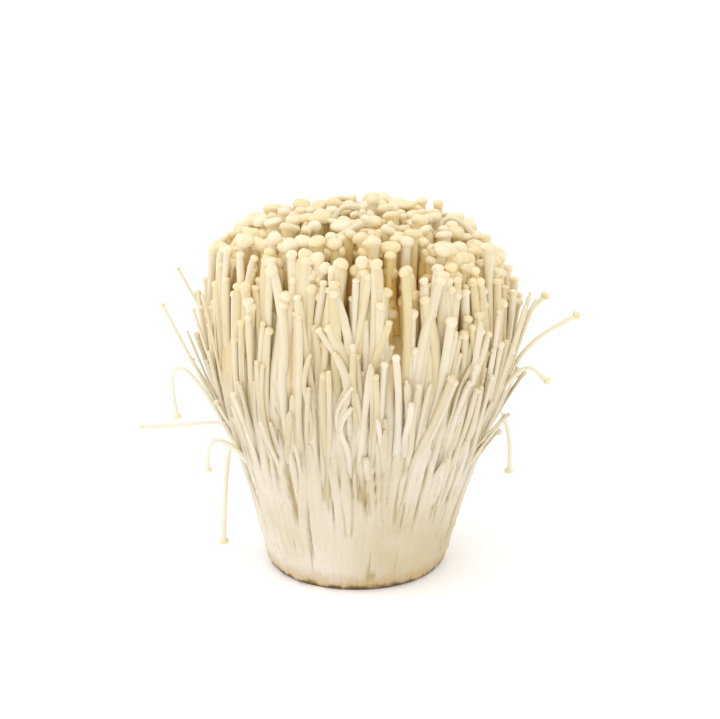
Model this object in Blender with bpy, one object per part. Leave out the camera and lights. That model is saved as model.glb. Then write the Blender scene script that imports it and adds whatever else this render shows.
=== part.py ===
"""Enoki mushroom bunch: one cluster as it leaves the bottle it grew in, standing on its cut base.

The stems are fused into a solid block at the bottom, where the cut leaves a flat round face. Above the
block the cluster opens into clumps and single mushrooms, each a thin stem with a small round cap, and a
few loose ones at the rim lean or hang outwards. Metres, +Z up, origin at the centre of the cut face.
"""
import math
import random

import bmesh
import bpy
from mathutils import Vector

# Driving dimensions, in metres
CUT_RADIUS = 0.0335
BLOCK_TOP = 0.044
CROWN_TOP = 0.1375
CROWN_DROP = 0.011          # how much lower the caps are at the rim of the crown than in its middle
CROWN_SHIFT = 0.0027        # the crown leans this far towards +X
GAP = 0.0003                # between pieces that touch

RIDGE_DEPTH = 0.0011        # of the ridges on the block's wall
RIDGES_FULL_AT = 0.020      # the height where they reach that depth
RIM_CHAMFER = 0.0010
BLOCK_ROWS = [0.0030, 0.0100, 0.0200, 0.0320]

STEM_RADIUS = 0.00155
CAP_RADIUS = 0.0029
CAP_HEIGHT = 0.0036
STEM_SWELL = 1.08           # a stem's width along its length, in stem radii
STEM_NECK = 0.95            # and just under its cap
CAP_STATIONS = [(0.10, 0.94), (0.55, 0.92), (1.00, 0.36)]   # in cap heights and cap radii
STEM_BOW = 0.0006           # how far a stem in the crown may bow to either side

# Radius of the whole bundle at a few heights: (height, radius)
BUNDLE_PROFILE = [
    (0.000, CUT_RADIUS),
    (0.003, 0.0347),
    (0.013, 0.0370),
    (0.028, 0.0412),
    (BLOCK_TOP, 0.0472),
    (0.060, 0.0535),
    (0.080, 0.0580),
    (0.100, 0.0590),
    (0.120, 0.0575),
    (0.145, 0.0540),
]

# Where the clumps stand, as shares of the bundle's radius
CORE_SHARE = 0.28
MIDDLE_SHARE = 0.58
OUTER_SHARE = 0.86
RIM_SHARE = 0.945           # the single mushrooms round the outside
MIDDLE_CLUMPS = 4
OUTER_CLUMPS = 7
CLUMP_FOOT_HEIGHT = 0.008
ROOTED_AT = 0.4             # where in its foot a clump's stems begin
MUSHROOMS_IN_CLUMPS = 88
CLUMP_MARGIN = 0.0029       # from a clump's side to its nearest stem

# How the mushrooms differ: lowest and highest, for the top of the stem against the crown's height in
# metres, and for the stem and the cap as shares of their usual radius
CLUMP_TOPS, CLUMP_STEMS, CLUMP_CAPS = (-0.009, 0.001), (0.90, 1.05), (0.85, 1.05)
RIM_TOPS, RIM_STEMS, RIM_CAPS = (-0.018, 0.008), (0.85, 1.00), (0.80, 1.00)

RIM_SLOTS = 45              # places for single mushrooms round the rim of the block
GOLDEN_ANGLE = math.pi * (3 - math.sqrt(5))

LOOSE_STEM_SHARE = 0.75     # a loose mushroom's stem radius as a share of its cap radius
LOOSE_STEM_MOST = 0.0011

# The loose mushrooms at the rim: slot, cap radius, then points along each one as
# (distance out from the foot, height above the block, sideways), in millimetres
LOOSE_MUSHROOMS = {
    "stray_left_tall": (24, 1.2, [(0, 0, 0), (8, 17, 0), (16, 34, 1), (23, 49, 1), (29, 62, 2)]),
    "stray_left_thin": (21, 0.9, [(0, 0, 0), (5, 22, 0), (12, 43, -1), (19, 54, -2), (26, 67, -2)]),
    "stray_left_capped": (20, 2.1, [(0, 0, 0), (5, 13, 0), (10, 26, 0), (16, 40, 0), (22, 54, -1)]),
    "stray_left_upright": (19, 1.8, [(0, 0, 0), (6, 16, 0), (12, 32, 0), (17, 47, 1), (20, 59, 1)]),
    "stray_left_drooping": (25, 1.6, [(0, 0, 0), (9, 17, 0), (18, 34, 0), (25, 43, 0), (30, 44, 0),
                                      (29, 35, 0), (27, 23, 0)]),
    "stray_left_level": (22, 1.3, [(0, 0, 0), (4, 8, 0), (10, 10, 0), (20, 9, 1), (29, 8, 1), (38, 8, 2)]),
    "stray_left_hanging": (23, 2.1, [(0, 0, 0), (1.5, 3, 0), (4.5, 4, 0), (6, -6, 0), (7, -20, 0),
                                     (8, -35, 0)]),
    "stray_left_short": (26, 1.6, [(0, 0, 0), (6, 8, 0), (12, 13, 0), (16, 15, 0), (18.5, 11, 0),
                                   (18.5, 4, 0)]),
    "stray_left_rear": (18, 1.9, [(0, 0, 0), (5, 14, 0), (9, 32, 2), (13, 44, 4)]),
    "stray_right_tall": (1, 1.9, [(0, 0, 0), (8, 22, 0), (16.5, 44, 0), (20, 52, 0), (26, 58, -1)]),
    "stray_right_far": (44, 1.9, [(0, 0, 0), (8, 21, 0), (16.5, 41, 0), (24, 49, 0), (30, 53, 0),
                                  (36, 56, 1)]),
    "stray_right_arched": (43, 1.8, [(0, 0, 0), (7, 17, 0), (13, 32, 0), (17, 38, 0), (22, 41, 0),
                                     (25.5, 39, 0), (27, 35, 0)]),
    "stray_right_hanging": (2, 1.9, [(0, 0, 0), (5, 6, 0), (10, 11, 0), (12.5, 14, 0), (15.5, 5, 0),
                                     (17.5, -3, 0), (17.5, -14, 0)]),
    "stray_right_short": (0, 1.2, [(0, 0, 0), (6, 15, 0), (11.5, 29, 0), (17, 30, 0)]),
    "stray_right_rear": (4, 1.8, [(0, 0, 0), (6, 18, 0), (11, 38, -2), (19, 56, -4)]),
    "stray_back_tall": (10, 2.1, [(0, 0, 0), (5, 22, 0), (9, 48, 1), (15, 74, 2)]),
    "stray_back_bent": (14, 1.8, [(0, 0, 0), (7, 16, 0), (13, 26, 0), (19, 27, 1), (23, 21, 2)]),
}

draw = random.Random(20)


# --- The scene and its collections

for old in list(bpy.data.objects):
    bpy.data.objects.remove(old, do_unlink=True)

bunch = bpy.data.collections.new("enoki_mushroom_bunch")
helpers = bpy.data.collections.new("helpers")
bpy.context.scene.collection.children.link(bunch)
bpy.context.scene.collection.children.link(helpers)


# --- Mushroom flesh, a shade for each kind of piece

def flesh(name, colour, roughness):
    material = bpy.data.materials.new(name)
    material.use_nodes = True
    shader = material.node_tree.nodes["Principled BSDF"]
    shader.inputs["Base Color"].default_value = (*colour, 1)
    shader.inputs["Roughness"].default_value = roughness
    shader.inputs["Metallic"].default_value = 0
    return material


block_flesh = flesh("block_flesh", (0.78, 0.68, 0.50), 0.62)
clump_flesh = flesh("clump_flesh", (0.83, 0.70, 0.46), 0.50)
rim_flesh = flesh("rim_flesh", (0.84, 0.74, 0.54), 0.48)
loose_flesh = flesh("loose_flesh", (0.84, 0.80, 0.58), 0.50)


# --- The shape that all the pieces follow

def bundle_radius(height):
    """Radius of the bundle at a height, on straight lines between the stations of its profile."""
    for (low, narrow), (high, wide) in zip(BUNDLE_PROFILE, BUNDLE_PROFILE[1:]):
        if height <= high:
            share = (max(height, low) - low) / (high - low)
            return narrow + share * (wide - narrow)
    return BUNDLE_PROFILE[-1][1]


def lean(height):
    """How far the bundle's axis has moved towards +X at a height."""
    return CROWN_SHIFT * min(max(height / CROWN_TOP, 0), 1)


def in_bundle(share, azimuth, height):
    """The point at a share of the bundle's radius, an azimuth and a height."""
    reach = share * bundle_radius(height)
    return Vector((lean(height) + reach * math.cos(azimuth), reach * math.sin(azimuth), height))


def crown_height(share):
    return CROWN_TOP - CROWN_DROP * share**2


# --- The fused block: flat cut face, and a wall of ridges that run up into the rim's mushrooms

def fused_block():
    columns = 2 * RIM_SLOTS
    heights = [*BLOCK_ROWS, BLOCK_TOP - RIM_CHAMFER, BLOCK_TOP]
    ridges = [draw.uniform(0.2, 1) if column % 2 == 0 else draw.uniform(-1, 0) for column in range(columns)]
    shape = bmesh.new()
    bmesh.ops.create_circle(shape, cap_ends=True, segments=columns, radius=CUT_RADIUS)
    edges = list(shape.edges)
    for height in heights:
        grown = bmesh.ops.extrude_edge_only(shape, edges=edges)["geom"]
        edges = [item for item in grown if isinstance(item, bmesh.types.BMEdge)]
        depth = RIDGE_DEPTH * min(height / RIDGES_FULL_AT, 1)
        inset = RIM_CHAMFER if height == BLOCK_TOP else 0
        for vertex in [item for item in grown if isinstance(item, bmesh.types.BMVert)]:
            azimuth = math.atan2(vertex.co.y, vertex.co.x - lean(vertex.co.z))
            column = round(azimuth / math.tau * columns) % columns
            reach = bundle_radius(height) + depth * ridges[column] - inset
            vertex.co = (lean(height) + reach * math.cos(azimuth), reach * math.sin(azimuth), height)
    bmesh.ops.contextual_create(shape, geom=edges)
    bmesh.ops.recalc_face_normals(shape, faces=shape.faces)
    mesh = bpy.data.meshes.new("fused_block")
    shape.to_mesh(mesh)
    shape.free()
    mesh.shade_smooth()
    mesh.set_sharp_from_angle(angle=math.radians(40))
    mesh.materials.append(block_flesh)
    bunch.objects.link(bpy.data.objects.new("fused_block", mesh))


# --- One mushroom: a tube whose radius swells into the cap at its end

def mushroom(name, route, stem_radius, cap_radius, material):
    """A curve object along the route, with the cap built over its last point."""
    direction = (route[-1] - route[-2]).normalized()
    cap_height = CAP_HEIGHT * cap_radius / CAP_RADIUS
    stations = [(point, stem_radius * STEM_SWELL) for point in route[:-1]]
    stations.append((route[-1], stem_radius * STEM_NECK))
    for up, wide in CAP_STATIONS:
        stations.append((route[-1] + direction * up * cap_height, cap_radius * wide))
    curve = bpy.data.curves.new(name, "CURVE")
    curve.dimensions = "3D"
    curve.bevel_depth = 1.0
    curve.bevel_resolution = 1
    curve.use_fill_caps = True
    spline = curve.splines.new("POLY")
    spline.points.add(len(stations) - 1)
    for point, (place, radius) in zip(spline.points, stations):
        point.co = (*place, 1)
        point.radius = radius
    curve.materials.append(material)
    return bpy.data.objects.new(name, curve)


def cleared(route, stem_radius):
    """The route with its foot lifted, so that the tilted end of the stem stays above the block."""
    slope = (route[1] - route[0]).normalized()
    tilt = math.hypot(slope.x, slope.y)
    return [route[0] + Vector((0, 0, STEM_SWELL * stem_radius * tilt)), *route[1:]]


def crown_route(share, azimuth, foot, top):
    """Foot, a point half way and the top of the stem, with a slight bow between them."""
    bow = draw.uniform(-STEM_BOW, STEM_BOW)
    middle = foot + 0.5 * (top - foot)
    sideways = Vector((-math.sin(azimuth), math.cos(azimuth), 0))
    return [
        in_bundle(share, azimuth, foot),
        in_bundle(share, azimuth, middle) + sideways * bow,
        in_bundle(share, azimuth, top),
    ]


# --- Clumps: mushrooms that share one foot, in a middle one and two rings

def sector_foot(name, inner, outer, start, end):
    """The foot of a clump: a ring sector, or a disc if it has no inner radius."""
    bottom = BLOCK_TOP + GAP
    radius = bundle_radius(bottom)
    steps = 6 if inner else 12
    turn = GAP / 2 / (outer * radius) if inner else 0
    angles = [start + turn + (end - start - 2 * turn) * step / steps for step in range(steps + 1)]
    outline = [(outer * radius - GAP / 2, angle) for angle in angles]
    if inner:
        side = GAP / (inner * radius)
        back = [min(max(angle, start + side), end - side) for angle in reversed(angles)]
        outline += [(inner * radius + GAP / 2, angle) for angle in back]
    else:
        outline.pop()
    shape = bmesh.new()
    corners = [
        shape.verts.new((lean(bottom) + reach * math.cos(angle), reach * math.sin(angle), bottom))
        for reach, angle in outline
    ]
    face = shape.faces.new(corners)
    raised = bmesh.ops.extrude_face_region(shape, geom=[face])["geom"]
    top = [item for item in raised if isinstance(item, bmesh.types.BMVert)]
    bmesh.ops.translate(shape, verts=top, vec=(0, 0, CLUMP_FOOT_HEIGHT))
    bmesh.ops.recalc_face_normals(shape, faces=shape.faces)
    mesh = bpy.data.meshes.new(name)
    shape.to_mesh(mesh)
    shape.free()
    mesh.materials.append(clump_flesh)
    return bpy.data.objects.new(name, mesh)


def as_mesh(curve_object):
    """The curve's tube as a mesh object with its end caps welded on."""
    evaluated = curve_object.evaluated_get(bpy.context.evaluated_depsgraph_get())
    mesh = bpy.data.meshes.new_from_object(evaluated)
    shape = bmesh.new()
    shape.from_mesh(mesh)
    bmesh.ops.remove_doubles(shape, verts=shape.verts, dist=0.00001)
    shape.to_mesh(mesh)
    shape.free()
    solid = bpy.data.objects.new(curve_object.name, mesh)
    solid.matrix_world = curve_object.matrix_world
    bpy.data.objects.remove(curve_object)
    return solid


def clump(name, inner, outer, start, end, places):
    """A foot with the clump's mushrooms joined to it."""
    foot = sector_foot(name, inner, outer, start, end)
    bunch.objects.link(foot)
    stems = bpy.data.collections.new(name + "_stems")
    helpers.children.link(stems)
    root = BLOCK_TOP + GAP + ROOTED_AT * CLUMP_FOOT_HEIGHT
    for number, (share, azimuth) in enumerate(places):
        top = crown_height(share) - CAP_HEIGHT + draw.uniform(*CLUMP_TOPS)
        cap_radius = CAP_RADIUS * draw.uniform(*CLUMP_CAPS)
        stem = mushroom(
            f"{name}_stem_{number}",
            crown_route(share, azimuth, root, top),
            STEM_RADIUS * draw.uniform(*CLUMP_STEMS),
            cap_radius,
            clump_flesh,
        )
        helpers.objects.link(stem)
        bpy.context.view_layer.update()
        solid = as_mesh(stem)
        solid.hide_render = True
        solid.display_type = "WIRE"
        stems.objects.link(solid)
    join = foot.modifiers.new("join_stems", "BOOLEAN")
    join.operation = "UNION"
    join.solver = "EXACT"
    join.operand_type = "COLLECTION"
    join.collection = stems


def clump_sectors():
    """Name, inner share, outer share, start and end azimuth of each clump."""
    sectors = [("clump_core", 0.0, CORE_SHARE, 0.0, math.tau)]
    for ring, count, inner, outer in [
        ("middle", MIDDLE_CLUMPS, CORE_SHARE, MIDDLE_SHARE),
        ("outer", OUTER_CLUMPS, MIDDLE_SHARE, OUTER_SHARE),
    ]:
        for number in range(count):
            start = math.tau * number / count
            end = math.tau * (number + 1) / count
            sectors.append((f"clump_{ring}_{number + 1}", inner, outer, start, end))
    return sectors


def clump_places(inner, outer, start, end):
    """Where a clump's mushrooms stand: the golden-angle places that fall in its sector."""
    radius = bundle_radius(BLOCK_TOP)
    margin = CLUMP_MARGIN / radius
    places = []
    for number in range(MUSHROOMS_IN_CLUMPS):
        share = OUTER_SHARE * math.sqrt((number + 0.5) / MUSHROOMS_IN_CLUMPS)
        azimuth = number * GOLDEN_ANGLE % math.tau
        if not (inner <= share < outer and start <= azimuth < end):
            continue
        low = inner + margin if inner else 0
        share = min(max(share, low), outer - margin)
        if inner:
            side = margin / share
            azimuth = min(max(azimuth, start + side), end - side)
        places.append((share, azimuth))
    return places


# --- Single mushrooms round the rim

def rim_mushrooms():
    taken = {slot for slot, _, _ in LOOSE_MUSHROOMS.values()}
    free = [slot for slot in range(RIM_SLOTS) if slot not in taken]
    for number, slot in enumerate(free):
        azimuth = math.tau * slot / RIM_SLOTS
        top = crown_height(1) - CAP_HEIGHT + draw.uniform(*RIM_TOPS)
        stem_radius = STEM_RADIUS * draw.uniform(*RIM_STEMS)
        rim = mushroom(
            f"rim_mushroom_{number + 1:02d}",
            cleared(crown_route(RIM_SHARE, azimuth, BLOCK_TOP + GAP, top), stem_radius),
            stem_radius,
            CAP_RADIUS * draw.uniform(*RIM_CAPS),
            rim_flesh,
        )
        bunch.objects.link(rim)


# --- Loose mushrooms that lean or hang away from the rim

def smooth_route(points, per_span):
    """Points of a Catmull-Rom curve through the given ones."""
    padded = [2 * points[0] - points[1], *points, 2 * points[-1] - points[-2]]
    route = []
    for before, near, far, after in zip(padded, padded[1:], padded[2:], padded[3:]):
        for step in range(per_span):
            t = step / per_span
            route.append(
                0.5 * (2 * near + t * (far - before)
                       + t**2 * (2 * before - 5 * near + 4 * far - after)
                       + t**3 * (3 * near - before - 3 * far + after))
            )
    route.append(points[-1])
    return route


def loose_mushrooms():
    for name, (slot, cap_radius, points) in LOOSE_MUSHROOMS.items():
        azimuth = math.tau * slot / RIM_SLOTS
        outwards = Vector((math.cos(azimuth), math.sin(azimuth), 0))
        sideways = Vector((-math.sin(azimuth), math.cos(azimuth), 0))
        foot = in_bundle(RIM_SHARE, azimuth, BLOCK_TOP + GAP)
        route = [
            foot + 0.001 * (out * outwards + across * sideways + Vector((0, 0, up)))
            for out, up, across in points
        ]
        stem_radius = min(LOOSE_STEM_MOST, 0.001 * LOOSE_STEM_SHARE * cap_radius)
        stray = mushroom(
            name,
            cleared(smooth_route(route, 2), stem_radius),
            stem_radius,
            0.001 * cap_radius,
            loose_flesh,
        )
        bunch.objects.link(stray)


fused_block()
for clump_name, near, far, first, last in clump_sectors():
    clump(clump_name, near, far, first, last, clump_places(near, far, first, last))
rim_mushrooms()
loose_mushrooms()
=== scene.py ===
"""Enoki mushroom bunch on a white table: a whole bottle-grown cluster standing on its cut end.

The file follows the bunch from the table up: the studio, the shape of the bundle, its flesh, the fused
block at the foot, and then the mushrooms that grow out of it, from the fallen ones on the crown and the
crown itself to the rim, the wall and the loose ones.
"""

import math
import random

import bmesh
import bpy
import numpy as np
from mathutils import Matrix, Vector, noise
from mathutils.kdtree import KDTree


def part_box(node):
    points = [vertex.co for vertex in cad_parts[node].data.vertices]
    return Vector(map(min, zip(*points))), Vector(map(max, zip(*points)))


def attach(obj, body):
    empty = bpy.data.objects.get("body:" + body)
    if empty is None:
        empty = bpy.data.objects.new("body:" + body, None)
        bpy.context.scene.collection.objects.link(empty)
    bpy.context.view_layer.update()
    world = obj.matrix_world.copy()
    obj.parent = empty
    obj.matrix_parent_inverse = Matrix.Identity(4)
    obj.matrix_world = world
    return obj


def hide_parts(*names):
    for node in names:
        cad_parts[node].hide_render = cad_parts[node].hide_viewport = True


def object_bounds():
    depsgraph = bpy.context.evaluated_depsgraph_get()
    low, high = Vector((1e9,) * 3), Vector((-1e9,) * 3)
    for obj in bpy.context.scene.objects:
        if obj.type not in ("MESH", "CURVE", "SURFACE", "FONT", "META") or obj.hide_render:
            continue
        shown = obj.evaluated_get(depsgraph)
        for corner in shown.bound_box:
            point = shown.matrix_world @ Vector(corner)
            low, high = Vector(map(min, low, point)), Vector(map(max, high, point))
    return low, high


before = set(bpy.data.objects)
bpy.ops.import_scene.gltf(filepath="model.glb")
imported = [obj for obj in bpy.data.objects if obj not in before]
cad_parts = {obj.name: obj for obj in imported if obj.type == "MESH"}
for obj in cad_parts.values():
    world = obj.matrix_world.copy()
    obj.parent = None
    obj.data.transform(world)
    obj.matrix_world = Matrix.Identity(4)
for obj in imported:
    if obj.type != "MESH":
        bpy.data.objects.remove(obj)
cad_low, cad_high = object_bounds()


# ------------------------------------------------------------------------------------------------
# The studio. A table of white acrylic, lit a little from below, in a white room with two big softboxes
# and a weak third. It is brighter than white paper, so only the shade at the bunch's foot shows on it.

def linear(hex_colour):
    """An sRGB hex value as linear red, green, blue and 1."""
    parts = [int(hex_colour[at:at + 2], 16) / 255 for at in (0, 2, 4)]
    return tuple(c / 12.92 if c <= 0.04045 else ((c + 0.055) / 1.055) ** 2.4 for c in parts) + (1,)


def add(nodes, kind, inputs=None, **settings):
    """A node of a kind with its settings. Each of its inputs is a node or socket to link, a hex colour or
    a number."""
    node = nodes.new("ShaderNode" + kind)
    for name, value in settings.items():
        setattr(node, name, value)
    for name, value in (inputs or {}).items():
        if isinstance(value, bpy.types.Node):
            value = value.outputs[0]
        if isinstance(value, bpy.types.NodeSocket):
            node.id_data.links.new(value, node.inputs[name])
        else:
            node.inputs[name].default_value = linear(value) if isinstance(value, str) else value
    return node


def new_material(name):
    """A material's nodes and its Principled shader."""
    material = bpy.data.materials.new(name)
    material.use_nodes = True
    nodes = material.node_tree.nodes
    return material, nodes, nodes["Principled BSDF"]


scene = bpy.context.scene
scene.view_settings.view_transform = "Standard"

TABLE_SIZE = 9.0
TABLE_GLOW = 0.27        # the light that comes through the acrylic from below
table_mesh = bmesh.new()
bmesh.ops.create_grid(table_mesh, x_segments=1, y_segments=1, size=TABLE_SIZE / 2)
table_data = bpy.data.meshes.new("table")
table_mesh.to_mesh(table_data)
table_mesh.free()
table = bpy.data.objects.new("table", table_data)
scene.collection.objects.link(table)
table_paint, _, table_shader = new_material("white_acrylic_light_table")
table_shader.inputs["Base Color"].default_value = linear("EFF0F5")
table_shader.inputs["Roughness"].default_value = 0.9
table_shader.inputs["Emission Color"].default_value = linear("FFFCF7")
table_shader.inputs["Emission Strength"].default_value = TABLE_GLOW
table_data.materials.append(table_paint)

ROOM_LIGHT = 0.76        # how much light the white room gives
ROOM_IN_VIEW = 1.05      # how bright its wall is behind the bunch, past the table
world = bpy.data.worlds.new("white_room")
scene.world = world
world.use_nodes = True
room_nodes = world.node_tree.nodes
room_nodes["Background"].inputs["Color"].default_value = linear("FFFDF9")
in_view = add(room_nodes, "LightPath").outputs["Is Camera Ray"]
room = add(room_nodes, "MapRange", {"Value": in_view, "To Min": ROOM_LIGHT, "To Max": ROOM_IN_VIEW})
world.node_tree.links.new(room.outputs[0], room_nodes["Background"].inputs["Strength"])


def big_light(name, direction, spread, strength, colour):
    """A light as even as a large softbox far away, from a direction, as wide as its spread in degrees."""
    light = bpy.data.lights.new(name, "SUN")
    light.angle = math.radians(spread)
    light.energy = strength
    light.color = linear(colour)[:3]
    lamp = bpy.data.objects.new(name, light)
    lamp.rotation_euler = Vector(direction).to_track_quat("Z", "Y").to_euler()
    scene.collection.objects.link(lamp)


big_light("key_softbox", (-0.86, -0.14, 0.60), 50, 0.48, "FFFFFF")
big_light("top_softbox", (0.05, -0.05, 0.98), 60, 0.90, "FFFFFF")
big_light("front_softbox", (-0.06, -0.90, 0.42), 50, 0.05, "FFFDF9")

LENS_MM = 100.0
SENSOR_MM = 36.0
LOOK_DOWN = math.radians(17.5)
CAMERA_AWAY = 0.76
CAMERA_SEES = 20.0       # farther than the table's far edge
AIM = Vector((0.0015, 0.0, 0.0806))
camera = bpy.data.objects.new("camera", bpy.data.cameras.new("camera"))
camera.data.lens = LENS_MM
camera.data.sensor_width = SENSOR_MM
back = Vector((0, -math.cos(LOOK_DOWN), math.sin(LOOK_DOWN)))
camera.location = AIM + back * CAMERA_AWAY
camera.rotation_euler = (-back).to_track_quat("-Z", "Y").to_euler()
camera.data.clip_end = CAMERA_SEES
scene.collection.objects.link(camera)
scene.camera = camera


# ------------------------------------------------------------------------------------------------
# The shape of the bundle, read from the frame: the rings of its single mushrooms, how wide it is at each
# height, and how far its crown leans. Everything below grows inside that shape.

CAD_SIDES = 6
CAP_RINGS = 3            # the last rings of a CAD mushroom make its cap
_, block_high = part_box("fused_block")
BLOCK_TOP = block_high.z
CROWN_TOP = cad_high.z


def layers_from(start):
    """The vertices of a tube in layers, ring by ring, from the given ones."""
    seen = set(start)
    layers = [list(start)]
    while layers[-1]:
        near = {edge.other_vert(v) for v in layers[-1] for edge in v.link_edges} - seen
        seen |= near
        layers.append(sorted(near, key=lambda v: v.index))
    return layers[:-1]


def rings_of(node):
    """Centre and radius of each ring of a single mushroom's CAD solid, from its foot to its cap."""
    mesh = bmesh.new()
    mesh.from_mesh(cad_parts[node].data)
    bmesh.ops.remove_doubles(mesh, verts=mesh.verts, dist=0.00001)
    mesh.verts.index_update()
    mesh.verts.ensure_lookup_table()
    one_end = layers_from([mesh.verts[0]])[-1][0]
    other_end = layers_from([one_end])[-1][0]
    block_middle = Vector((0, 0, BLOCK_TOP))
    foot_corner = min((one_end, other_end), key=lambda v: (v.co - block_middle).length)
    foot = sorted(mesh.verts, key=lambda v: (v.co - foot_corner.co).length)[:CAD_SIDES]
    rings = []
    for layer in layers_from(foot):
        centre = sum((v.co for v in layer), Vector()) / len(layer)
        rings.append((np.array(centre), max((v.co - centre).length for v in layer)))
    mesh.free()
    return rings


rim_rings = {n: rings_of(n) for n in sorted(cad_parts) if n.startswith("rim_mushroom")}
loose_rings = {n: rings_of(n) for n in sorted(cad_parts) if n.startswith("stray")}

# The crown's middle is the centre of the circle through the rim's caps.
rim_caps = np.array([rings[-1][0] for rings in rim_rings.values()])
circle_terms = np.column_stack([2 * rim_caps[:, :2], np.ones(len(rim_caps))])
circle = np.linalg.lstsq(circle_terms, (rim_caps[:, :2] ** 2).sum(1), rcond=None)[0]
LEAN = circle[0] / rim_caps[:, 2].mean()

# The bundle's radius by height: the block's wall first, and the rim's mushrooms on from it.
wall_points = np.array([v.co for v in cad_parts["fused_block"].data.vertices])
wall_points = wall_points[np.hypot(wall_points[:, 0], wall_points[:, 1]) > 0.6 * block_high.x]
stem_points = np.array([centre for rings in rim_rings.values() for centre, _ in rings[:-CAP_RINGS]])


def from_axis(points):
    """How far points are from the bundle's leaning axis."""
    return np.hypot(points[:, 0] - LEAN * points[:, 2], points[:, 1])


SAME_HEIGHT = 0.0015     # points closer in height than this count as level
OUTLINE_ORDER = 5
top_edge = from_axis(wall_points)[np.abs(wall_points[:, 2] - BLOCK_TOP) < SAME_HEIGHT].mean()
rim_feet = from_axis(stem_points)[np.abs(stem_points[:, 2] - BLOCK_TOP) < SAME_HEIGHT].mean()
RIM_SHARE = rim_feet / top_edge
outline = np.polynomial.Polynomial.fit(
    np.concatenate([wall_points[:, 2], stem_points[:, 2]]),
    np.concatenate([from_axis(wall_points), from_axis(stem_points) / RIM_SHARE]), OUTLINE_ORDER)
OUTLINE_TOP = stem_points[:, 2].max()

# The crown parts along clefts where clumps lean away from each other: azimuths in degrees, seen from
# above, and how far the mushrooms beside each have moved aside, in radians.
CLEFTS = ((-121, 0.030), (-96, 0.042), (-63, 0.034), (-28, 0.026), (8, 0.036), (47, 0.040), (83, 0.030),
          (118, 0.038), (151, 0.034), (186, 0.030), (214, 0.034))
CLEFT_REACH = math.radians(13)
CLEFT_OPEN = 0.045       # the height above the block at which a cleft is fully open


def held(value):
    """A value kept between 0 and 1."""
    return min(max(value, 0), 1)


def within_half_turn(angle):
    """An angle brought to between minus and plus half a turn."""
    return (angle + math.pi) % math.tau - math.pi


def bundle_radius(height):
    """The bundle's radius at a height."""
    return float(outline(min(max(height, 0), OUTLINE_TOP)))


def parted(azimuth, height):
    """An azimuth moved aside from the cleft next to it, by more with height."""
    opening = held((height - BLOCK_TOP) / CLEFT_OPEN)
    for degrees, strength in CLEFTS:
        beside = within_half_turn(azimuth - math.radians(degrees))
        if abs(beside) < CLEFT_REACH:
            azimuth += math.copysign(strength * opening * (1 - abs(beside) / CLEFT_REACH), beside)
    return azimuth


def in_bundle(share, azimuth, height, out=0.0):
    """A point of the bundle: its share of the radius, azimuth and height, and how far it stands out."""
    reach = share * bundle_radius(height) + out
    turned = parted(azimuth, height)
    return np.array((LEAN * height + reach * math.cos(turned), reach * math.sin(turned), height))


DOME = 0.002             # how much lower the crown is at its edge, as a dome
SLOPE = 0.0025           # how much it falls towards the back and the right
EDGE_DROP = 0.014        # how much its edge falls off besides
RIGHT_DROP = 0.005       # and how much more at the right


def crown_height(share, azimuth):
    """How high the crown stands: a low dome that falls off at its edge, least in front."""
    edge = held((share - 0.55) / 0.41) ** 1.5
    in_front = max(-math.sin(azimuth), 0)
    slope = SLOPE * share * (math.cos(azimuth) + 1.3 * math.sin(azimuth))
    to_right = max(math.cos(azimuth), 0)
    drop = EDGE_DROP * (1 - 0.6 * in_front) + RIGHT_DROP * to_right
    return CROWN_TOP + 0.001 - DOME * share**2 - slope - drop * edge


# ------------------------------------------------------------------------------------------------
# Mushroom flesh: Flammulina, grown in the dark, so it is almost without pigment. Thin wet fibres run
# along it and give it a satin sheen. Deep in the bunch it is painted amber, for the light that comes
# through the flesh and the shade in the gaps. Dried, it turns yellow, and the loose ones are painted
# paler for the light that falls on them.

WALL_UP_TO = 0.055       # flesh has the wall's colour up to this height,
STEM_FROM = 0.110        # and its own from this one
FIBRE_BUMP = 0.0003
FLESH_GLOW_DEPTH = 0.0010        # how far light goes in
WALL_COLOURS = ("EDE4D3", "D9CBA8")
# The painted amber of the light through the flesh and the shade in the gaps, deep in the bunch
PAINTED_GAP_AMBER = "FFDE8A"


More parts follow.
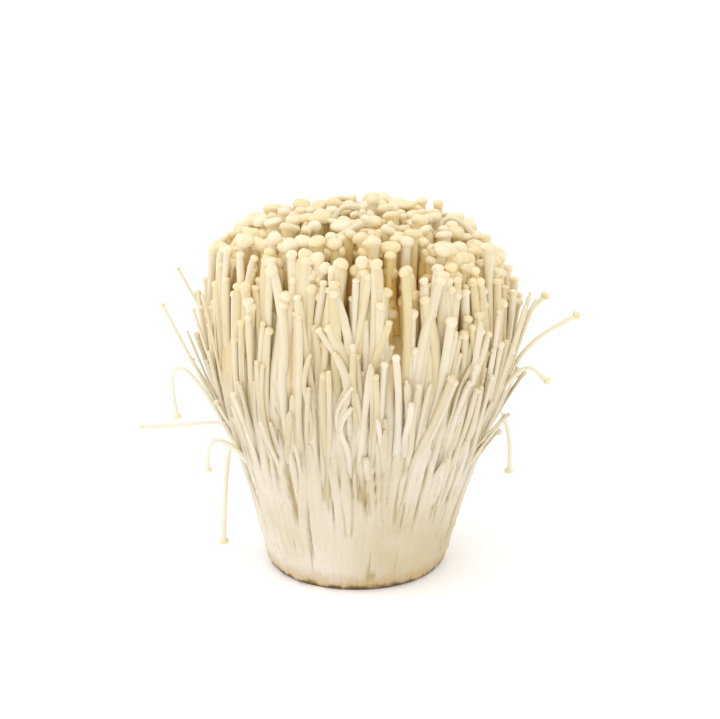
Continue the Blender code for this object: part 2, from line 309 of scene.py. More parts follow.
def flesh_material(name, stem_colours, cap_colours, wall_colours):
    """Flesh whose colour follows the tint attribute: shade, share of cap, and depth in the bunch, where it
    is painted amber for the light through the flesh and the shade in the gaps. Low down it turns to the
    wall's colours, in patches some 15 mm across. Its fibres follow the growth attribute, which runs along
    the stem. They are drawn 8 mm long and half a stem's radius wide, far coarser than real ones, so that
    they show."""
    material, nodes, shader = new_material(name)
    link = material.node_tree.links.new
    tint = add(nodes, "Attribute", attribute_name="tint").outputs["Vector"]
    shade, cap, deep = add(nodes, "SeparateXYZ", {"Vector": tint}).outputs
    growth = add(nodes, "Attribute", attribute_name="growth").outputs["Vector"]
    fibres = add(nodes, "TexNoise", {"Vector": growth, "Scale": 2.2, "Detail": 3.0}).outputs["Fac"]
    place = add(nodes, "TexCoord").outputs["Object"]
    patches = add(nodes, "TexNoise", {"Vector": place, "Scale": 70.0, "Detail": 3.0}).outputs["Fac"]
    height = add(nodes, "SeparateXYZ", {"Vector": place}).outputs["Z"]

    stem = add(nodes, "MixRGB", {"Fac": shade, "Color1": stem_colours[0], "Color2": stem_colours[1]})
    top = add(nodes, "MixRGB", {"Fac": shade, "Color1": cap_colours[0], "Color2": cap_colours[1]})
    weathered = add(nodes, "Math", {0: patches, 1: shade}, operation="ADD")
    weathered = add(nodes, "MapRange", {"Value": weathered, "From Min": 0.50, "From Max": 1.25})
    wall = add(nodes, "MixRGB", {"Fac": weathered, "Color1": wall_colours[0], "Color2": wall_colours[1]})
    free = add(nodes, "MapRange", {"Value": height, "From Min": WALL_UP_TO, "From Max": STEM_FROM})
    grown = add(nodes, "MixRGB", {"Fac": free, "Color1": wall, "Color2": stem})
    body = add(nodes, "MixRGB", {"Fac": cap, "Color1": grown, "Color2": top})
    streak = add(nodes, "MapRange", {"Value": fibres, "From Min": 0.35, "From Max": 0.65,
                                     "To Min": 0.965, "To Max": 1.02})
    streaked = add(nodes, "MixRGB", {"Fac": 1.0, "Color1": body, "Color2": streak}, blend_type="MULTIPLY")
    # Painted amber deep in the bunch: the light that comes through the flesh and the shade in the gaps.
    colour = add(nodes, "MixRGB", {"Fac": deep, "Color1": streaked, "Color2": PAINTED_GAP_AMBER})
    link(colour.outputs[0], shader.inputs["Base Color"])

    satin = add(nodes, "MapRange", {"Value": fibres, "From Min": 0.3, "From Max": 0.7,
                                    "To Min": 0.38, "To Max": 0.58})
    link(satin.outputs[0], shader.inputs["Roughness"])
    bump = add(nodes, "Bump", {"Height": fibres, "Strength": 0.15, "Distance": FIBRE_BUMP})
    link(bump.outputs[0], shader.inputs["Normal"])
    shader.inputs["Subsurface Weight"].default_value = 0.15
    shader.inputs["Subsurface Radius"].default_value = (1.0, 0.85, 0.65)
    shader.inputs["Subsurface Scale"].default_value = FLESH_GLOW_DEPTH
    shader.inputs["IOR"].default_value = 1.38
    return material


# Fresh flesh: moist and satin, off-white to cream, with creamier caps. Dried flesh: yellower, with stems
# painted paler for the light that falls on the loose ones, the same all the way down.
DRY_LIT_STEMS = ("F9F5E4", "F4EFD4")
bunch_flesh = flesh_material("enoki_flesh", ("F4EAD1", "EAD9A8"), ("FEF1D4", "F8E6B8"), WALL_COLOURS)
dried_lit_flesh = flesh_material("enoki_flesh_dried_lit", DRY_LIT_STEMS, ("F6F0CC", "EFE8B4"), DRY_LIT_STEMS)


# ------------------------------------------------------------------------------------------------
# The fused block: the foot of the cluster, where stems and mycelium have grown into one pale mass. The
# grown-in stems show as long folds in its wall with cracks between them. The knife left it flat below,
# and the growing medium left its edge brown.

COLUMNS = 480
ROW_HEIGHT = 0.00065
MIDDLE_RADIUS = 0.045    # the wall's radius as its patterns see it
BEHIND_STEMS = 0.060     # how far the wall goes on up behind the stems that stand on it,
DRAWN_IN = 0.03          # how much it draws in there, as a share of the radius,
CURLED_IN = 0.13         # and how much it curls in besides at its top
EDGE_CUT = 0.0009        # the cut edge, rubbed off
EDGE_CUT_HEIGHT = 0.0015

# The wall's patterns: the width and length of what each repeats, and how far it stands out or goes in.
WANDER_SIZE = (0.024, 0.045)     # nothing on the wall runs quite straight
WANDER = 0.07                    # in radians
FOLD_SIZE = (0.0030, 0.070)      # the grown-in stems
FOLD_DEPTH = 0.0008
FOLD_STAND = 0.0008
SWELL_SIZE = (0.014, 0.060)
SWELL = 0.0010
SLIT_PLACES_SIZE = (0.0045, 0.034)       # where the folds have parted
SLIT_DEPTH = 0.0009
CRACK_SIZE = (0.0046, 0.060)
CRACK_PLACES_SIZE = (0.008, 0.016)       # where the skin has split
CRACK_DEPTH = 0.0004
PLATE_SIZE = (0.0075, 0.0125)    # patches of thicker skin, low on the wall
PLATE_HEIGHT = 0.0004
FLAKE_SIZE = (0.0032, 0.0030)
FLAKE_HEIGHT = 0.0010
GRAIN_SIZE = (0.0010, 0.0024)
GRAIN_HEIGHT = 0.00005


def across_wall(azimuth, height, size):
    """A place in a pattern that wraps the wall, with its features' width and length in metres."""
    width, length = size
    return Vector((MIDDLE_RADIUS * math.cos(azimuth) / width, MIDDLE_RADIUS * math.sin(azimuth) / width,
                   height / length))


def wall_relief(azimuth, height):
    """How far the wall stands out, and how deep in a crevice it is, at one place. Some patterns are turned
    about the axis, so that they do not repeat the others."""
    rise = held((height - 0.006) / 0.040)
    wander = WANDER * noise.noise(across_wall(azimuth, height, WANDER_SIZE))
    distances, folds = noise.voronoi(across_wall(azimuth + wander, height, FOLD_SIZE))
    border = distances[1] - distances[0]
    crest = min(border / 0.55, 1)
    crest = crest * (2 - crest)
    stand = noise.noise(folds[0] * 5.1)
    swell = noise.noise(across_wall(azimuth, height, SWELL_SIZE))

    opened = 2.8 * noise.noise(across_wall(azimuth + 2.0, height, SLIT_PLACES_SIZE)) - 0.40 + 1.2 * rise**2
    slit = max(1 - border / 0.16, 0) * held(opened) * held((height - 0.004) / 0.012)

    crack_distances, _ = noise.voronoi(across_wall(azimuth + wander + 1.4, height, CRACK_SIZE))
    cracked = noise.noise(across_wall(azimuth + 5.0, height, CRACK_PLACES_SIZE))
    crack = max(1 - (crack_distances[1] - crack_distances[0]) / 0.11, 0) * held(cracked * 4 - 0.7)

    plate_distances, plates = noise.voronoi(across_wall(azimuth + wander, height, PLATE_SIZE))
    plate = (1 - rise) * held(6 * noise.noise(plates[0] * 3.7) - 1.6)
    plate_edge = max(1 - (plate_distances[1] - plate_distances[0]) / 0.14, 0)

    grain = noise.noise(across_wall(azimuth, height, GRAIN_SIZE))
    flake = max(noise.noise(across_wall(azimuth + 4.0, height, FLAKE_SIZE)) - 0.30, 0)
    out = (0.35 + 0.65 * rise) * (FOLD_DEPTH * (crest - 0.6) + FOLD_STAND * stand) + SWELL * swell
    out += (GRAIN_HEIGHT * grain + FLAKE_HEIGHT * flake + PLATE_HEIGHT * plate * (1 - plate_edge)
            - SLIT_DEPTH * slit - CRACK_DEPTH * crack)
    return out, max(slit, 0.75 * crack, 0.40 * plate * plate_edge)


def put_in_order(shape):
    """Sorts a shape's faces by their corners, so that every run gives the same mesh."""
    shape.verts.index_update()
    count = len(shape.verts)
    shape.faces.sort(key=lambda f: min(v.index for v in f.verts) * count + max(v.index for v in f.verts))


def fused_block():
    """A wall of rows from the cut edge up, closed below by the cut face and above by a top."""
    block = bmesh.new()
    crevice_layer = block.verts.layers.float.new("crevice")
    bmesh.ops.create_circle(block, cap_ends=True, segments=COLUMNS, radius=bundle_radius(0) - EDGE_CUT)
    edges = list(block.edges)
    top = BLOCK_TOP + BEHIND_STEMS
    rows = round(top / ROW_HEIGHT)
    for row in range(1, rows + 1):
        height = top * row / rows
        grown = bmesh.ops.extrude_edge_only(block, edges=edges)["geom"]
        edges = [part for part in grown if isinstance(part, bmesh.types.BMEdge)]
        up = max((height - BLOCK_TOP) / BEHIND_STEMS, 0)
        behind = DRAWN_IN * up**2 + CURLED_IN * up**8
        worn = EDGE_CUT * max(1 - height / EDGE_CUT_HEIGHT, 0)
        for v in [part for part in grown if isinstance(part, bmesh.types.BMVert)]:
            azimuth = math.atan2(v.co.y, v.co.x - LEAN * height * (row - 1) / row)
            out, v[crevice_layer] = wall_relief(azimuth, height)
            reach = bundle_radius(height) * (1 - behind) + out - worn
            v.co = (LEAN * height + reach * math.cos(azimuth), reach * math.sin(azimuth), height)
    bmesh.ops.contextual_create(block, geom=edges)
    bmesh.ops.recalc_face_normals(block, faces=block.faces)
    put_in_order(block)
    mesh = bpy.data.meshes.new("fused_block_flesh")
    block.to_mesh(mesh)
    block.free()
    mesh.shade_smooth()
    return mesh


DRY_COLOUR = "CDBB90"
# painted shade in the wall's cracks and slits, and round its skin plates
CREVICE_SHADE_COLOUR = "B09A5C"
STAIN_COLOUR = "C4A058"  # what the growing medium has coloured, low on the wall
RIND_COLOUR = "6E5220"
STAIN_TOP = 0.0080
RIND_TOP = 0.0026
RAGGED = 0.0012          # how far both go up and down
WALL_BUMP = 0.0004
WALL_GLOW_DEPTH = 0.0015


def fused_material():
    """Dry matt mycelium, creamy, with painted olive-brown shade in its cracks, slits and round its skin
    plates, and a brown rind at the cut edge. Its patches are some 30 mm across, its mottle is 1 mm, and
    the rind's edge goes up and down every 4 mm."""
    material, nodes, shader = new_material("fused_mycelium")
    link = material.node_tree.links.new
    place = add(nodes, "TexCoord").outputs["Object"]
    patches = add(nodes, "TexNoise", {"Vector": place, "Scale": 32.0, "Detail": 3.0}).outputs["Fac"]
    fine = add(nodes, "TexNoise", {"Vector": place, "Scale": 900.0, "Detail": 4.0}).outputs["Fac"]
    crevice = add(nodes, "Attribute", attribute_name="crevice").outputs["Fac"]
    across, _, height = add(nodes, "SeparateXYZ", {"Vector": place}).outputs

    # Darker and yellower to the right, low down: yellow patches of its own, and painted shade on the side
    # away from the key light.
    to_right = add(nodes, "MapRange", {"Value": across, "From Min": -0.020, "From Max": 0.025,
                                       "To Min": -0.12, "To Max": 0.20})
    low_down = add(nodes, "MapRange", {"Value": height, "From Min": 0.010, "From Max": 0.034,
                                       "To Min": 1.0, "To Max": 0.0})
    dry_and_shaded_side = add(nodes, "Math", {0: to_right, 1: low_down}, operation="MULTIPLY")
    dry_and_shade = add(nodes, "Math", {0: patches, 1: dry_and_shaded_side}, operation="ADD")
    dry_and_shade = add(nodes, "MapRange", {"Value": dry_and_shade, "From Min": 0.34, "From Max": 0.74})
    body = add(nodes, "MixRGB", {"Fac": dry_and_shade, "Color1": WALL_COLOURS[0], "Color2": WALL_COLOURS[1]})
    mottle = add(nodes, "MapRange", {"Value": fine, "From Min": 0.45, "From Max": 0.75, "To Max": 0.18})
    body = add(nodes, "MixRGB", {"Fac": mottle, "Color1": body, "Color2": DRY_COLOUR})
    # Painted olive-brown shade in the cracks and slits, and round the skin plates.
    crevice_shade = add(nodes, "MapRange", {"Value": crevice, "From Min": 0.05, "From Max": 0.8,
                                           "To Max": 0.80})
    body = add(nodes, "MixRGB", {"Fac": crevice_shade, "Color1": body, "Color2": CREVICE_SHADE_COLOUR})
    # Painted amber at the top of the wall, behind the stems: the light through the flesh and the shade in
    # the gaps there.
    behind = add(nodes, "MapRange", {"Value": height, "From Min": BLOCK_TOP + 0.50 * BEHIND_STEMS,
                                     "From Max": BLOCK_TOP + BEHIND_STEMS, "To Max": 0.65})
    body = add(nodes, "MixRGB", {"Fac": behind, "Color1": body, "Color2": PAINTED_GAP_AMBER})

    ragged = add(nodes, "TexNoise", {"Vector": place, "Scale": 260.0, "Detail": 4.0}).outputs["Fac"]
    ragged = add(nodes, "MapRange", {"Value": ragged, "From Min": 0.3, "From Max": 0.7,
                                     "To Min": -RAGGED, "To Max": RAGGED})
    edge = add(nodes, "Math", {0: height, 1: ragged}, operation="ADD")
    stain = add(nodes, "MapRange", {"Value": edge, "From Min": 0.0005, "From Max": STAIN_TOP,
                                    "To Min": 0.8, "To Max": 0.0})
    body = add(nodes, "MixRGB", {"Fac": stain, "Color1": body, "Color2": STAIN_COLOUR})
    rind = add(nodes, "MapRange", {"Value": edge, "From Min": 0.0008, "From Max": RIND_TOP,
                                   "To Min": 1.0, "To Max": 0.0})
    body = add(nodes, "MixRGB", {"Fac": rind, "Color1": body, "Color2": RIND_COLOUR})
    link(body.outputs[0], shader.inputs["Base Color"])
    shader.inputs["Roughness"].default_value = 0.62
    bump = add(nodes, "Bump", {"Height": fine, "Strength": 0.35, "Distance": WALL_BUMP})
    link(bump.outputs[0], shader.inputs["Normal"])
    shader.inputs["Subsurface Weight"].default_value = 0.15
    shader.inputs["Subsurface Radius"].default_value = (1.0, 0.62, 0.30)
    shader.inputs["Subsurface Scale"].default_value = WALL_GLOW_DEPTH
    return material


def show(name, mesh, material, nodes):
    """A mesh as a piece of the bunch with its material, attached to the root body, which stands for CAD
    nodes and hides them.
    """
    mesh.materials.append(material)
    piece = bpy.data.objects.new(name, mesh)
    scene.collection.objects.link(piece)
    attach(piece, "root")
    if nodes:
        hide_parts(*nodes)
    return piece


show("fused_block_flesh", fused_block(), fused_material(), ["fused_block"])


# ------------------------------------------------------------------------------------------------
# One mushroom: a thin stem, a little flattened and uneven, that widens under a small round cap. A
# six-sided tube of rings is the cage of them all. Each copy is laid along its own route, and
# subdivision rounds it.

SIDES = 6
STEM_RINGS = 7
ROUNDING = 1.16          # how much wider the cage is than the tube that subdivision makes of it
# The cap's rings: height in cap heights and radius in cap radii
CAP_SHAPE = ((0.00, 0.74), (0.16, 1.00), (0.48, 1.08), (0.79, 0.91), (1.00, 0.50))
CAP_FROM_RING = STEM_RINGS + 1
RINGS = CAP_FROM_RING + len(CAP_SHAPE)
FOOT_SWELL = 0.70        # how much wider a stem gets towards its foot
TOP_SWELL = 0.45         # and towards its cap
GROWTH_SCALE = 60        # units of the growth attribute to a metre of stem

DEEP_WITHIN = 0.975      # painted amber of shade and light through flesh, within this share of the bundle's radius,
DEEP_WITHIN_OVER = 0.12  # fully so this much further in,
DEEP_BELOW = 0.001       # from this far below the crown,
DEEP_BELOW_OVER = 0.009  # fully so this much further down:
DEEP_RISES_FROM = 0.045  # least at this height and lower,
DEEP_RISES_OVER = 0.055  # and most this much higher up
DEEP_LEAST = 0.3
CAP_STAYS_PALE = 0.50    # how much less a cap down in the bunch is painted amber than its stem


def make_cage():
    """A capped tube with one ring at each whole height."""
    tube = bmesh.new()
    bmesh.ops.create_circle(tube, cap_ends=True, segments=SIDES, radius=1)
    edges = list(tube.edges)
    for _ in range(RINGS - 1):
        grown = bmesh.ops.extrude_edge_only(tube, edges=edges)["geom"]
        edges = [part for part in grown if isinstance(part, bmesh.types.BMEdge)]
        ring = [part for part in grown if isinstance(part, bmesh.types.BMVert)]
        bmesh.ops.translate(tube, verts=ring, vec=(0, 0, 1))
    bmesh.ops.contextual_create(tube, geom=edges)
    bmesh.ops.recalc_face_normals(tube, faces=tube.faces)
    put_in_order(tube)
    mesh = bpy.data.meshes.new("mushroom_cage")
    tube.to_mesh(mesh)
    tube.free()
    return mesh


cage = make_cage()
cage_points = np.array([v.co for v in cage.vertices])
cage_ring = np.rint(cage_points[:, 2]).astype(int)


def smooth_curve(points, shares):
    """Places at shares of the length of a smooth curve through the points."""
    points = np.asarray(points, float)
    padded = np.vstack([2 * points[0] - points[1], points, 2 * points[-1] - points[-2]])
    t = np.linspace(0, 1, 9)[:-1, None]
    spans = []
    for p0, p1, p2, p3 in zip(padded, padded[1:], padded[2:], padded[3:]):
        spans.append(0.5 * (2 * p1 + t * (p2 - p0) + t**2 * (2 * p0 - 5 * p1 + 4 * p2 - p3)
                            + t**3 * (3 * p1 - p0 - 3 * p2 + p3)))
    fine = np.vstack([*spans, points[-1]])
    steps = np.concatenate([[0], np.cumsum(np.linalg.norm(np.diff(fine, axis=0), axis=1))])
    places = np.asarray(shares) * steps[-1]
    return np.column_stack([np.interp(places, steps, fine[:, axis]) for axis in range(3)])


def mushroom(draw, route, stem, cap, squat=1.2, broad=1.0, nod=10.0, ripe=1.0, yellow=1.0, crown=None,
             deep=1.0):
    """One mushroom's measures: its route, stem radius, cap radius, cap height in cap radii, how broad its
    stem is, how far its cap nods in degrees, how ripe its cap is and how yellow it can be. The crown is
    the height of the bunch over it, or its own height if none is given, and deep is how much painted
    amber it takes below that, which stands for the light through the flesh and the shade in the gaps."""
    return {
        "route": route,
        "stem": stem,
        "cap": cap,
        "cap_height": squat * cap,
        "broad": broad,
        "nod": np.array([math.tan(math.radians(draw.gauss(0, nod))) for _ in range(3)]),
        "swell": np.array([draw.uniform(0.90, 1.12) for _ in range(STEM_RINGS)]),
        "dents": np.array([draw.uniform(0.89, 1.11) for _ in range(len(cage_points))]),
        "shade": yellow * draw.random(),
        "grain": draw.uniform(0, 50),
        "ripe": ripe,
        "crown": crown,
        "deep": deep,
    }


def lay(m):
    """Where the cage's vertices go for one mushroom, with its growth and tint attributes."""
    stem_shares = np.linspace(0, 1, STEM_RINGS)
    stem = smooth_curve(m["route"], stem_shares)
    way = stem[-1] - stem[-2]
    way = way / np.linalg.norm(way) + m["nod"]
    way /= np.linalg.norm(way)
    collar = stem[-1] + way * 0.3 * m["stem"]
    cap_base = collar + way * 0.12 * m["cap_height"]
    centres = np.vstack([stem, collar, [cap_base + way * h * m["cap_height"] for h, _ in CAP_SHAPE]])
    foot = FOOT_SWELL * (1 - stem_shares) ** 2.2
    thickness = m["stem"] * m["swell"] * (1 + foot + TOP_SWELL * stem_shares**2.5)
    neck = min(m["stem"] * (1 + TOP_SWELL), 0.76 * m["cap"])
    radii = ROUNDING * np.concatenate([thickness, [neck], [w * m["cap"] for _, w in CAP_SHAPE]])

    # Each ring's two directions turn with the route and do not twist about it. A stem that is broad is
    # so along the wall.
    ways = np.vstack([np.gradient(stem, axis=0), np.tile(way, (RINGS - STEM_RINGS, 1))])
    ways /= np.linalg.norm(ways, axis=1)[:, None]
    across = np.cross(ways[0], (stem[0][0] - LEAN * stem[0][2], stem[0][1], 0.0001))
    u, v = np.empty((RINGS, 3)), np.empty((RINGS, 3))
    for ring, direction in enumerate(ways):
        across = across - direction * across.dot(direction)
        across /= np.linalg.norm(across)
        u[ring], v[ring] = across, np.cross(direction, across)
    u[:STEM_RINGS] *= m["broad"]
    v[:STEM_RINGS] /= m["broad"]
    spread = (radii[cage_ring] * m["dents"])[:, None]
    outward = cage_points[:, :1] * u[cage_ring] + cage_points[:, 1:2] * v[cage_ring]
    places = centres[cage_ring] + spread * outward

    run = np.concatenate([[0], np.cumsum(np.linalg.norm(np.diff(centres, axis=0), axis=1))])
    growth = np.column_stack([cage_points[:, :2], GROWTH_SCALE * run[cage_ring] + m["grain"]])

    # The painted amber of light through the flesh and shade in the gaps: inside the bunch, below the
    # crown, more of it higher up and less on the caps.
    height = places[:, 2]
    reach = np.hypot(places[:, 0] - LEAN * height, places[:, 1]) / outline(np.clip(height, 0, OUTLINE_TOP))
    below = (m["crown"] or centres[-1][2]) - height
    in_cap = cage_ring >= CAP_FROM_RING
    inside = np.clip((DEEP_WITHIN - reach) / DEEP_WITHIN_OVER, 0, 1)
    deep = m["deep"] * inside * np.clip((below - DEEP_BELOW) / DEEP_BELOW_OVER, 0, 1)
    rising = np.clip((height - DEEP_RISES_FROM) / DEEP_RISES_OVER, DEEP_LEAST, 1)
    deep *= (1 - CAP_STAYS_PALE * in_cap) * rising
    tint = np.column_stack([np.full(len(places), m["shade"]), m["ripe"] * in_cap, deep])
    return places, growth, tint


def grow(name, mushrooms, material, nodes, rounding):
    """One piece of mushrooms, with its levels of subdivision."""
    joined = bmesh.new()
    for _ in mushrooms:
        joined.from_mesh(cage)
    mesh = bpy.data.meshes.new(name)
    joined.to_mesh(mesh)
    joined.free()
    places, growths, tints = (np.vstack(parts).astype(np.float32) for parts in zip(*map(lay, mushrooms)))
    mesh.vertices.foreach_set("co", places.ravel())
    mesh.attributes.new("growth", "FLOAT_VECTOR", "POINT").data.foreach_set("vector", growths.ravel())
    mesh.attributes.new("tint", "FLOAT_VECTOR", "POINT").data.foreach_set("vector", tints.ravel())
    mesh.shade_smooth()
    piece = show(name, mesh, material, nodes)
    subdivision = piece.modifiers.new("rounding", "SUBSURF")
    subdivision.levels = rounding
    subdivision.render_levels = rounding


# ------------------------------------------------------------------------------------------------
# Fallen mushrooms: some of the crown's own that broke or bent over and lie on their neighbours' caps.
# Each goes from its foot to its cap: share of the radius, azimuth in degrees and millimetres above the
# crown, and then its cap radius in millimetres.

FALLEN = (
    (((0.68, -125, -17.0), (0.63, -120, -9.0), (0.51, -107, -3.5), (0.42, -93, 0.0)), 2.7),
    (((0.52, 6, -4.0), (0.58, 2, 0.4), (0.66, -2, 1.2), (0.74, -5, 1.2)), 2.5),
    (((0.22, 165, -5.0), (0.17, 150, 0.4), (0.10, 110, 1.0)), 2.6),
    (((0.56, 32, -5.0), (0.62, 26, 0.2), (0.70, 20, 0.6)), 2.3),
    (((0.55, 124, -5.0), (0.50, 116, 0.5), (0.46, 103, 0.8)), 2.4),
    (((0.66, -44, -9.0), (0.61, -54, -1.5), (0.52, -66, 0.3)), 2.2),
)
FALLEN_STEM = 0.34       # stem radius as a share of the cap's
UNDER_FALLEN = 0.0035    # how far under a fallen one the tips are that it lies on, and how far round it

draw = random.Random(17)
fallen = []
for route, cap_mm in FALLEN:
    points = []
    for share, degrees, above_mm in route:
        azimuth = math.radians(degrees)
        points.append(in_bundle(share, azimuth, crown_height(share, azimuth) + 0.001 * above_mm))
    cap = 0.001 * cap_mm
    fallen.append(mushroom(draw, points, FALLEN_STEM * cap, cap, squat=1.1, nod=8, deep=0))
grow("fallen_mushrooms", fallen, bunch_flesh, [], 2)
fallen_places = np.vstack([smooth_curve(m["route"], np.linspace(0, 1, 12)) for m in fallen])


def pressed(tip):
    """A tip lowered under the fallen mushrooms that lie on it."""
    over = fallen_places[np.hypot(*(fallen_places[:, :2] - tip[:2]).T) < UNDER_FALLEN]
    return np.array((*tip[:2], min([tip[2], *(over[:, 2] - UNDER_FALLEN)])))


# ------------------------------------------------------------------------------------------------
# The crown: long mushrooms that stand close together and end at nearly one height. Each keeps to the
# clump that it grew in, and their caps push each other aside.

CROWN_COUNT = 210
CROWN_SHARE = 0.80       # how far out it goes, as a share of the radius
CROWN_CAP = 0.0028       # a usual cap's radius, its spread, and the smallest and largest
CROWN_CAP_SPREAD = 0.0008
SMALLEST_CAP = 0.0015
LARGEST_CAP = 0.0045
THICKEST_STEM = 0.0019
FIRST_FOOT = BLOCK_TOP - 0.004
GOLDEN_ANGLE = math.pi * (3 - math.sqrt(5))
DRIFT_SIZE = 0.022       # how far apart mushrooms stand that drift differently
DRIFT_PATTERN = 5        # without a number the noise takes a new pattern every run
PUSHES = 60
TOUCHING = 0.96          # caps may press into each other by the rest


noise.seed_set(DRIFT_PATTERN)


def drift_field(place, amount):
    """A slow drift, the same for neighbours, that draws some together and others apart."""
    return np.array(noise.noise_vector(Vector(place) / DRIFT_SIZE)) * (amount, amount, 0.5 * amount)


def crown_route(draw, share, azimuth, tip):
    """From the block up to the tip, bowed like the bundle's outline, with a slow sway."""
    end = in_bundle(share, azimuth, tip[2])
    points = []
    for s in (0, 0.25, 0.5, 0.75):
        sway = np.array((draw.gauss(0, 0.0007), draw.gauss(0, 0.0007), 0)) * min(3 * s, 1)
        height = FIRST_FOOT + s * (tip[2] - FIRST_FOOT)
        points.append(in_bundle(share, azimuth, height) + (tip - end) * s**1.6 + sway)
    return points + [tip]


def push_apart(tips, sizes, fixed):
    """Tips moved until their caps only touch. Those from the fixed one on stay where they are."""
    tips = tips.copy()
    others = 1 - np.eye(len(tips))
    for _ in range(PUSHES):
        apart = tips[:, None] - tips[None]
        distance = np.linalg.norm(apart * (1, 1, 1.25), axis=2) + np.eye(len(tips))
        overlap = np.clip(TOUCHING * (sizes[:, None] + sizes[None]) - distance, 0, None) * others
        move = 0.25 * (apart * (overlap / distance)[:, :, None]).sum(1) * (1, 1, 0.35)
        move[fixed:] = 0
        tips += move
    return tips


draw = random.Random(11)
crown_ones = []
for number in range(CROWN_COUNT):
    share = math.sqrt((number + 0.5) / CROWN_COUNT) * CROWN_SHARE
    azimuth = number * GOLDEN_ANGLE + draw.uniform(-0.06, 0.06)
    top = crown_height(share, azimuth) - 0.001 - abs(draw.gauss(0, 0.0045))
    tip = in_bundle(share, azimuth, top)
    tip += drift_field(tip, 0.0035) + (draw.gauss(0, 0.0010), draw.gauss(0, 0.0010), 0)
    cap = min(max(draw.gauss(CROWN_CAP, CROWN_CAP_SPREAD), SMALLEST_CAP), LARGEST_CAP)
    crown_ones.append((share, azimuth, tip, cap))
rim_sizes = [rings[-CAP_RINGS][1] for rings in rim_rings.values()]
sizes = np.array([cap for _, _, _, cap in crown_ones] + rim_sizes)
tips = push_apart(np.vstack([[tip for _, _, tip, _ in crown_ones], rim_caps]), sizes, len(crown_ones))
tips = [pressed(tip) for tip in tips]

# A mushroom belongs to the clump whose CAD tips it is nearest to.
clump_nodes = sorted(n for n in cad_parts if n.startswith("clump"))
cad_tips = [(v.co, n) for n in clump_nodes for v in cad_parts[n].data.vertices
            if v.co.z > 0.8 * CROWN_TOP]
tip_tree = KDTree(len(cad_tips))
for index, (place, _) in enumerate(cad_tips):
    tip_tree.insert(place, index)
tip_tree.balance()
clumps = {n: [] for n in clump_nodes}
for (share, azimuth, _, cap), tip in zip(crown_ones, tips):
    node = cad_tips[tip_tree.find(tip)[1]][1]
    route = crown_route(draw, share, azimuth, tip)
    stem = min(cap * draw.uniform(0.40, 0.56), THICKEST_STEM)
    squat = draw.uniform(0.95, 1.40) * (0.0027 / cap) ** 0.7
    clumps[node].append(mushroom(draw, route, stem, cap, squat=squat, nod=12,
                                 crown=crown_height(share, azimuth)))
for node, mushrooms in clumps.items():
    grow(node + "_mushrooms", mushrooms, bunch_flesh, [node], 1)


# ------------------------------------------------------------------------------------------------
# The single mushrooms round the rim, long and straight, each a piece of its own. Their feet run on down
# the wall, where they have half grown in, and sink into it.

SINK = 0.0026            # how deep a foot is sunk in the wall
ON_WALL = 0.985          # the share of the radius at which a stem lies on the wall
RIM_STEM = 0.80          # stem radius as a share of the CAD one's


def down_the_wall(azimuth, top, low, stem):
    """Points from a foot sunk in the wall up to a height on it."""
    points = []
    for s in (0, 0.5):
        height = low + s * (top - low)
        points.append(in_bundle(ON_WALL, azimuth, height, -SINK * (1 - s) - 0.4 * stem))
    return points


draw = random.Random(12)
for node, rings in rim_rings.items():
    route = [centre for centre, _ in rings[:-CAP_RINGS]]
    azimuth = math.atan2(route[0][1], route[0][0] - LEAN * route[0][2])
    stem = RIM_STEM * rings[0][1]
    low = draw.uniform(0.018, 0.034)
    route = down_the_wall(azimuth, BLOCK_TOP, low, stem) + route
    cap = rings[-CAP_RINGS][1]
    one = mushroom(draw, route, stem, cap, squat=draw.uniform(0.95, 1.3), broad=draw.uniform(0.95, 1.20))
    grow(node + "_flesh", [one], bunch_flesh, [node], 2)


# ------------------------------------------------------------------------------------------------
# The crown's edge: mushrooms as long as the crown's, side by side just inside the rim. Those in front are
# shorter, so that a hollow shows the stems behind them, painted amber there for the light through the
# flesh and the shade in the gaps.

LOCK_SIZE = (0.017, 0.400)       # the width and length of a lock of mushrooms that lean together
LOCK_LEAN = 0.42                 # how far a loose lock leans sideways, in radians about the axis
OUTER_DRIFT = 0.0025
LONG_STEM = 0.080                # a stem's length for its full lean and sway
SUNK_TO = 0.070                  # a stem comes out of the wall below this height,
SUNK_OVER = 0.036                # and is fully sunk this much lower


def outer_mushroom(draw, azimuth, low, high, stem, cap, share, drift, flare, ripe=1.0, crown=None,
                   loose=0.3):
    """A mushroom on the outside of the bundle, sunk in the wall at its foot and free at its tip. The
    looser it stands, the more it leans with its neighbours, and the flatter it has grown."""
    points = []
    slack = (high - low) / LONG_STEM
    drift += LOCK_LEAN * loose * slack * noise.noise(across_wall(azimuth + 7.0, high, LOCK_SIZE))
    restless = 0.0022 if draw.random() < 0.25 else 0.0010
    for s in (0, 0.25, 0.5, 0.75, 1):
        height = low + s * (high - low)
        sunk = SINK * held((SUNK_TO - height) / SUNK_OVER)
        sway = slack * draw.gauss(0, restless) * min(3 * s, 1) / bundle_radius(height)
        points.append(in_bundle(share, azimuth + drift * s**1.4 + sway, height, flare * s**2 - sunk))
    points[-1] = points[-1] + slack * drift_field(points[-1], OUTER_DRIFT)
    squat = draw.uniform(1.0, 1.6)
    broad = draw.uniform(0.85, 1.2) + 0.3 * loose
    return mushroom(draw, points, stem, cap, squat=squat, broad=broad, nod=12, ripe=ripe,
                    yellow=0.6 + 0.4 * ripe, crown=crown)


def grow_in_parts(name, mushrooms, count):
    """Mushrooms dealt out to a number of pieces, so that none is too heavy."""
    for part in range(count):
        grow(f"{name}_{part + 1}", mushrooms[part::count], bunch_flesh, [], 1)


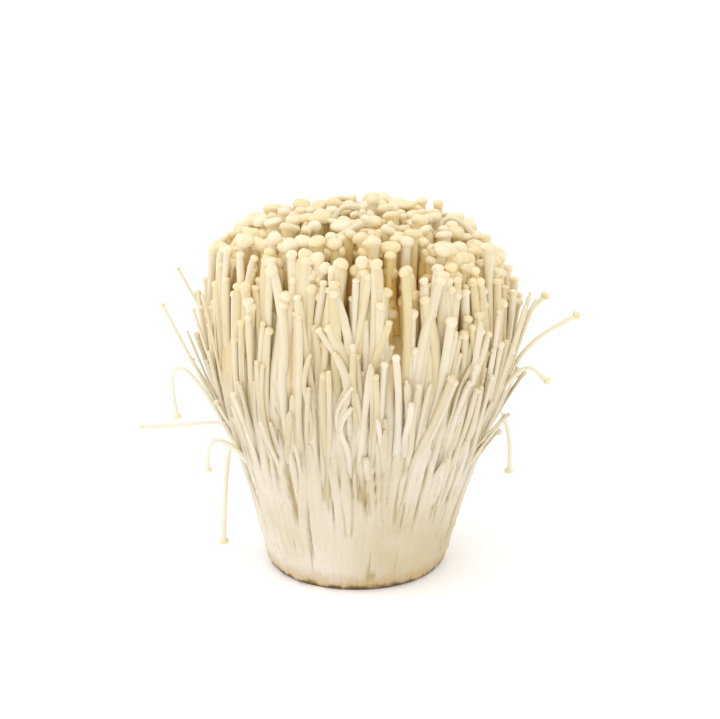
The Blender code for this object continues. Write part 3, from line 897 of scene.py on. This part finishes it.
CROWN_EDGE_COUNT = 165
HOLLOW = math.radians(-93)
HOLLOW_REACH = math.radians(38)
HOLLOW_DEPTH = 0.022
draw = random.Random(16)
edge_ones = []
for number in range(CROWN_EDGE_COUNT):
    azimuth = number * GOLDEN_ANGLE + draw.uniform(-0.02, 0.02)
    share = draw.uniform(0.80, 0.90)
    cap = min(max(draw.gauss(0.0028, 0.0005), 0.0018), 0.0040)
    hollow = HOLLOW_DEPTH * max(1 - (within_half_turn(azimuth - HOLLOW) / HOLLOW_REACH) ** 2, 0)
    over = crown_height(share, azimuth)
    high = over - hollow - abs(draw.gauss(0.002, 0.006))
    stem = cap * draw.uniform(0.34, 0.50)
    drift = draw.gauss(0, 0.08)
    flare = draw.uniform(-0.002, 0.002)
    edge_ones.append(outer_mushroom(draw, azimuth, FIRST_FOOT, high, stem, cap, share, drift, flare,
                                    crown=over))
grow_in_parts("crown_edge", edge_ones, 3)


# ------------------------------------------------------------------------------------------------
# Late growth: mushrooms all through the bunch that stayed a little below the crown. Their caps have
# hardly opened, and they fill the gaps between its stems.

LATE_COUNT = 210
draw = random.Random(18)
late_ones = []
for number in range(LATE_COUNT):
    share = math.sqrt(draw.uniform(0.12, 0.86))
    azimuth = number * GOLDEN_ANGLE
    stem = draw.uniform(0.0013, 0.0020)
    over = crown_height(share, azimuth)
    high = over - draw.uniform(0.0035, 0.014)
    drift = draw.gauss(0, 0.05)
    late_ones.append(outer_mushroom(draw, azimuth, FIRST_FOOT, high, stem, 1.5 * stem, share, drift, 0,
                                    crown=over))
grow_in_parts("late_growth", late_ones, 4)


# ------------------------------------------------------------------------------------------------
# The rim's growth: long thin mushrooms between the rim's own, with tips at all heights of the upper half.
# The shorter one is, the thinner, paler and looser it is.

LONG_COUNT = 400
draw = random.Random(13)
long_ones = []
for number in range(LONG_COUNT):
    azimuth = number * GOLDEN_ANGLE + draw.uniform(-0.02, 0.02)
    shortness = draw.random() ** 1.5
    high = crown_height(0.95, azimuth) - 0.002 - 0.042 * shortness
    stem = draw.uniform(0.0009, 0.0013) * (1.05 - 0.36 * shortness)
    low = draw.uniform(0.022, 0.044)
    cap = stem * draw.uniform(1.4, 2.0)
    share = 0.945 + 0.045 * shortness + draw.uniform(-0.01, 0.01)
    drift = draw.gauss(0, 0.085)
    flare = draw.uniform(-0.003, 0.004)
    long_ones.append(outer_mushroom(draw, azimuth, low, high, stem, cap, share, drift, flare,
                                    ripe=1 - 0.6 * shortness, loose=0.4 + 0.6 * shortness))
grow_in_parts("rim_growth", long_ones, 6)


# ------------------------------------------------------------------------------------------------
# The wall's growth: short mushrooms, late and starved of air, that lie against the wall like splinters.
# At the sides they stand out more.

SHORT_COUNT = 160
draw = random.Random(14)
short_ones = []
for number in range(SHORT_COUNT):
    low = draw.uniform(0.024, 0.062)
    high = low + draw.uniform(0.022, 0.056)
    stem = draw.uniform(0.0005, 0.0009)
    azimuth = number * GOLDEN_ANGLE
    flare = min(abs(draw.gauss(0, 0.0028)), 0.0045) * (1 + 0.8 * abs(math.cos(azimuth)))
    cap = stem * draw.uniform(0.9, 1.8)
    share = draw.uniform(0.985, 1.0)
    drift = draw.gauss(0, 0.04)
    short_ones.append(outer_mushroom(draw, azimuth, low, high, stem, cap, share, drift, flare,
                                     ripe=0.2, loose=1.0))
grow_in_parts("wall_growth", short_ones, 3)


# ------------------------------------------------------------------------------------------------
# Loose mushrooms: single thin ones that have come away from the rim and lean, arch or hang. They have
# dried a little and turned yellow, and their stems are painted paler for the light that falls on them.

LOOSE_STEM = 0.65        # stem radius as a share of the CAD one's
draw = random.Random(15)
for node, rings in loose_rings.items():
    route = [centre for centre, _ in rings[:-CAP_RINGS]]
    cap = rings[-CAP_RINGS][1]
    one = mushroom(draw, route, LOOSE_STEM * rings[0][1], cap, squat=1.25, nod=6, deep=0)
    grow(node + "_flesh", [one], dried_lit_flesh, [node], 2)
